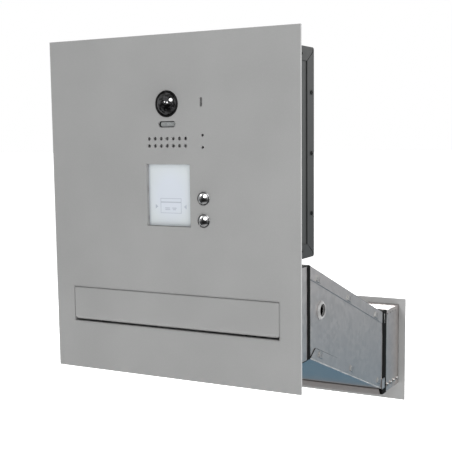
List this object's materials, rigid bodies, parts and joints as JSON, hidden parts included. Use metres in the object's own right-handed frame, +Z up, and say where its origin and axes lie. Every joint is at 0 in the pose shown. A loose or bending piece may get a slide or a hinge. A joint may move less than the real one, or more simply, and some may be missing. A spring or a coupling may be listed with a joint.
{
  "type": "door intercom panel",
  "caption": "Through-wall door station: metal front plate with camera, speaker, reader window, call buttons and letter flap, a back box, and a sloping letter duct to a rear removal door.",
  "frame": {"origin": "centre of the outer wall face that the plate's foam seal rests on", "axes": "+X to the right as a visitor sees it, +Y into the wall towards the room, +Z up"},
  "size_m": [0.4, 0.4465, 0.5925],
  "materials": {
    "plate_grey": "fine satin light-grey coat on stainless steel",
    "dark_powder_coat": "fine-textured dark grey powder coat",
    "grey_powder_coat": "fine-textured mid-grey powder coat",
    "galvanised_sheet": "galvanised sheet steel with faint spangle",
    "zinc_hardware": "bright zinc plate",
    "chrome_trim": "polished chrome",
    "lock_brass": "satin brass",
    "black_rubber": "matt EPDM rubber",
    "grey_rubber": "matt rubber",
    "pale_rubber": "smooth pale grey rubber",
    "black_plastic": "fine-grained moulded plastic",
    "black_screws": "black oxide",
    "lens_black": "gloss black with a coated front glass",
    "smoked_dome": "smoked clear polycarbonate",
    "clear_diffuser": "ribbed clear acrylic",
    "frosted_window": "satin white translucent acrylic",
    "white_plastic": "satin white",
    "circuit_board": "green solder mask",
    "terminal_green": "moulded",
    "black_fabric": "fine dust gauze",
    "window_print": "pale blue-grey print"
  },
  "bodies": {
    "housing": {"front_plate": "plate_grey", "wall_gasket": "black_rubber", "plate_studs": "zinc_hardware", "stud_nuts": "zinc_hardware", "slot_frame": "plate_grey", "flap_bumpers": "black_rubber", "front_collar": "galvanised_sheet", "front_seal": "black_rubber", "letter_throat": "galvanised_sheet", "duct_side_left": "galvanised_sheet", "duct_side_right": "galvanised_sheet", "port_grommets": "pale_rubber", "duct_top_panel": "galvanised_sheet", "duct_bottom_panel": "galvanised_sheet", "rear_seal": "black_rubber", "rear_box": "galvanised_sheet", "rear_plate": "plate_grey", "door_hinge_frame_leaves": "zinc_hardware", "door_hinge_pins": "zinc_hardware", "lock_strike": "zinc_hardware", "backbox_frame": "grey_powder_coat", "backbox_end_caps": "dark_powder_coat", "backbox_rear_cover": "dark_powder_coat", "backbox_screws": "black_screws", "cable_grommet": "black_rubber", "module_housing": "black_plastic", "module_rear_cover": "black_plastic", "module_screws": "zinc_hardware", "camera_dome": "smoked_dome", "camera_bezel": "black_plastic", "camera_lens": "lens_black", "camera_board": "circuit_board", "light_diffuser": "clear_diffuser", "light_board": "circuit_board", "speaker_mesh": "black_fabric", "speaker": "black_plastic", "microphone": "grey_rubber", "status_light_pipes": "clear_diffuser", "window_gasket": "pale_rubber", "reader_window": "frosted_window", "window_backlight": "white_plastic", "reader_board": "circuit_board", "button_housings": "chrome_trim", "button_nuts": "zinc_hardware", "button_spring_upper": "zinc_hardware", "button_spring_lower": "zinc_hardware", "button_switches": "black_plastic", "main_board": "circuit_board", "terminal_block": "terminal_green"},
    "letter_flap": {"letter_flap": "plate_grey", "flap_hinge_rod": "zinc_hardware"},
    "call_button_upper": {"call_button_upper": "chrome_trim"},
    "call_button_lower": {"call_button_lower": "chrome_trim"},
    "rear_door": {"rear_door": "plate_grey", "door_hinge_door_leaves": "zinc_hardware", "door_lock_body": "chrome_trim", "door_lock_nut": "zinc_hardware"},
    "door_lock": {"door_lock_plug": "lock_brass", "door_lock_cam": "zinc_hardware", "door_lock_cam_screw": "zinc_hardware"}
  },
  "joints": [
    {"name": "letter_flap_hinge", "type": "hinge", "parent": "housing", "child": "letter_flap", "pos_m": [0, -0.0025, -0.11985], "axis": [-1, 0, 0], "range_deg": [0, 80]},
    {"name": "call_button_upper_press", "type": "slide", "parent": "housing", "child": "call_button_upper", "axis": [0, 1, 0], "range_m": [0, 0.0015], "stiffness_N_per_m": 800, "springref_m": -0.0015, "deforming": ["button_spring_upper"]},
    {"name": "call_button_lower_press", "type": "slide", "parent": "housing", "child": "call_button_lower", "axis": [0, 1, 0], "range_m": [0, 0.0015], "stiffness_N_per_m": 800, "springref_m": -0.0015, "deforming": ["button_spring_lower"]},
    {"name": "rear_door_hinge", "type": "hinge", "parent": "housing", "child": "rear_door", "pos_m": [-0.1865, 0.43, -0.25575], "axis": [0, 0, 1], "range_deg": [0, 110]},
    {"name": "door_lock_turn", "type": "hinge", "parent": "rear_door", "child": "door_lock", "pos_m": [0.16, 0.427, -0.25575], "axis": [0, -1, 0], "range_deg": [0, 90]}
  ]
}
